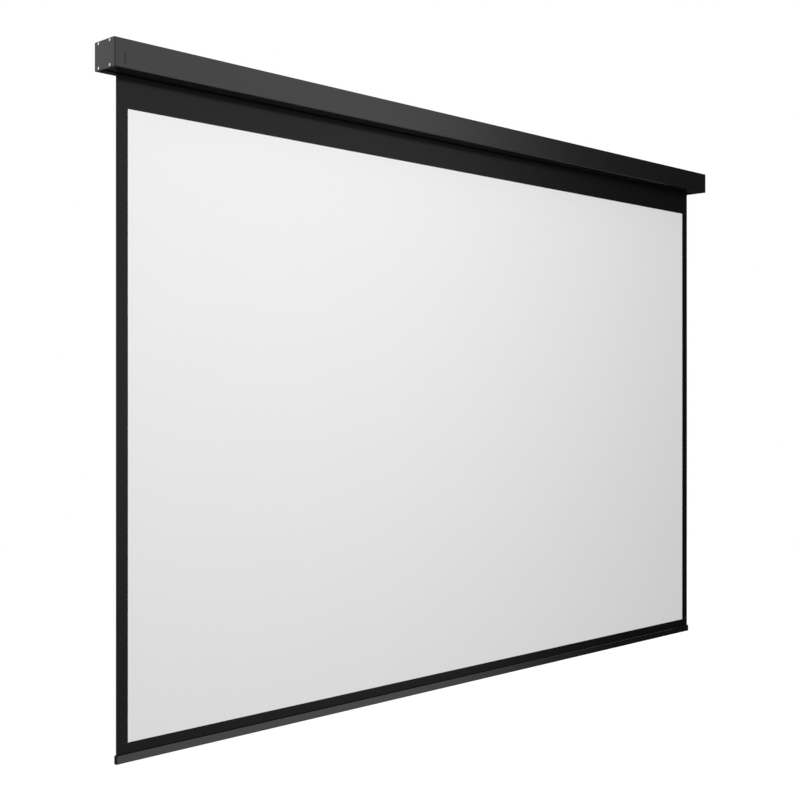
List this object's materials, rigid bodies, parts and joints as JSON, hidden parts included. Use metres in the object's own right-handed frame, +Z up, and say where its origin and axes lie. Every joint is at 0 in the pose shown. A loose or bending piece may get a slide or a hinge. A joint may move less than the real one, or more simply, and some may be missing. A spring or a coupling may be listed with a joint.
{
  "type": "motorized projector screen",
  "caption": "Wall or ceiling projector screen: a black-bordered white fabric that a motor in a box casing rolls up, with a weight bar along its lower edge.",
  "frame": {"origin": "centre of the casing's flat back face, where it lies on the wall", "axes": "+X to the viewer's right along the casing, -Y into the room, +Y into the wall, +Z up; the fabric hangs towards -Z"},
  "size_m": [2.5612, 0.083, 1.6938],
  "materials": {
    "casing_paint": "satin dark grey powder coat",
    "end_plate_paint": "satin dark grey powder coat, a little lighter",
    "bright_screw": "bright zinc",
    "zinc_plate": "zinc plated",
    "black_cloth": "matte black coated cloth",
    "white_cloth": "matte white coated cloth",
    "bar_paint": "satin dark grey powder coat",
    "black_plastic": "moulded",
    "grey_plastic": "moulded",
    "white_nylon": "moulded nylon",
    "mill_aluminium": "mill finish",
    "steel": "machined",
    "smoked_plastic": "smoked, gloss",
    "circuit_board": "solder mask",
    "terminal_plastic": "moulded",
    "cable_jacket": "matte jacket"
  },
  "bodies": {
    "casing": {"casing_profile": "casing_paint", "end_plate_left": "end_plate_paint", "end_plate_right": "end_plate_paint", "end_screw_left_front_top": "bright_screw", "end_screw_left_front_bottom": "bright_screw", "end_screw_left_rear_top": "bright_screw", "end_screw_left_rear_bottom": "bright_screw", "end_screw_right_front_top": "bright_screw", "end_screw_right_front_bottom": "bright_screw", "end_screw_right_rear_top": "bright_screw", "end_screw_right_rear_bottom": "bright_screw", "motor_bracket": "zinc_plate", "idler_bracket": "zinc_plate", "bracket_nut_left_lower": "zinc_plate", "bracket_nut_left_upper": "zinc_plate", "bracket_nut_right_lower": "zinc_plate", "bracket_nut_right_upper": "zinc_plate", "carrier_fabric": "black_cloth", "viewing_surface": "white_cloth", "motor_head": "black_plastic", "control_box_tray": "black_plastic", "control_box_lid": "black_plastic", "mains_gland": "black_plastic", "gland_dome": "black_plastic", "gland_lock_nut": "black_plastic", "limit_switch_unit": "grey_plastic", "motor_capacitor": "grey_plastic", "idler_bush": "white_nylon", "motor_tube": "mill_aluminium", "motor_unit": "steel", "gearbox_stages": "steel", "ring_gear": "steel", "receiver_window": "smoked_plastic", "receiver_board": "circuit_board", "control_board": "circuit_board", "terminal_block": "terminal_plastic", "motor_relay": "terminal_plastic", "receiver_lead": "cable_jacket", "motor_lead": "cable_jacket"},
    "roller": {"roller_tube": "mill_aluminium", "fabric_roll": "black_cloth", "crown_wheel": "black_plastic", "drive_wheel": "black_plastic", "planet_carrier": "steel", "idler_plug": "black_plastic", "idler_spring": "steel"},
    "idler_pin": {"idler_pin": "steel"},
    "sun": {"sun_gear": "steel"},
    "planet_1": {"planet_gear_1": "steel"},
    "planet_2": {"planet_gear_2": "steel"},
    "planet_3": {"planet_gear_3": "steel"},
    "bar": {"bar_profile": "bar_paint", "bar_cap_left": "black_plastic", "bar_cap_right": "black_plastic", "fabric_keder": "white_nylon", "ballast_rod": "steel", "bottom_border": "black_cloth"},
    "adjuster_up": {"limit_adjuster_up": "white_nylon"},
    "adjuster_down": {"limit_adjuster_down": "white_nylon"}
  },
  "joints": [
    {"name": "bar_slide", "type": "slide", "parent": "casing", "child": "bar", "axis": [0, 0, 1], "range_m": [0, 1.6035], "deforming": ["carrier_fabric", "viewing_surface"]},
    {"name": "roller_spin", "type": "hinge", "parent": "casing", "child": "roller", "pos_m": [0, -0.05158, 0], "axis": [1, 0, 0], "range_deg": [0, 3645]},
    {"name": "sun_spin", "type": "hinge", "parent": "casing", "child": "sun", "pos_m": [0.87, -0.05158, 0], "axis": [1, 0, 0], "range_deg": [0, 16400]},
    {"name": "planet_spin_1", "type": "hinge", "parent": "roller", "child": "planet_1", "pos_m": [0.87, -0.0428, 0], "axis": [1, 0, 0], "range_deg": [-10205, 0]},
    {"name": "planet_spin_2", "type": "hinge", "parent": "roller", "child": "planet_2", "pos_m": [0.87, -0.05596, 0.0076], "axis": [1, 0, 0], "range_deg": [-10205, 0]},
    {"name": "planet_spin_3", "type": "hinge", "parent": "roller", "child": "planet_3", "pos_m": [0.87, -0.05596, -0.0076], "axis": [1, 0, 0], "range_deg": [-10205, 0]},
    {"name": "idler_pin_slide", "type": "slide", "parent": "roller", "child": "idler_pin", "axis": [1, 0, 0], "range_m": [0, 0.008], "stiffness_N_per_m": 800, "springref_m": -0.004, "deforming": ["idler_spring"]},
    {"name": "limit_up_adjust", "type": "hinge", "parent": "casing", "child": "adjuster_up", "pos_m": [1.2585, -0.05158, -0.0145], "axis": [0, 0, 1], "continuous": true},
    {"name": "limit_down_adjust", "type": "hinge", "parent": "casing", "child": "adjuster_down", "pos_m": [1.2505, -0.05158, -0.0145], "axis": [0, 0, 1], "continuous": true}
  ],
  "couplings": [
    {"joint": "roller_spin", "follows": "bar_slide", "rad_per_m": 39.7},
    {"joint": "sun_spin", "follows": "bar_slide", "rad_per_m": 178.65},
    {"joint": "planet_spin_1", "follows": "bar_slide", "rad_per_m": -111.16},
    {"joint": "planet_spin_2", "follows": "bar_slide", "rad_per_m": -111.16},
    {"joint": "planet_spin_3", "follows": "bar_slide", "rad_per_m": -111.16}
  ]
}
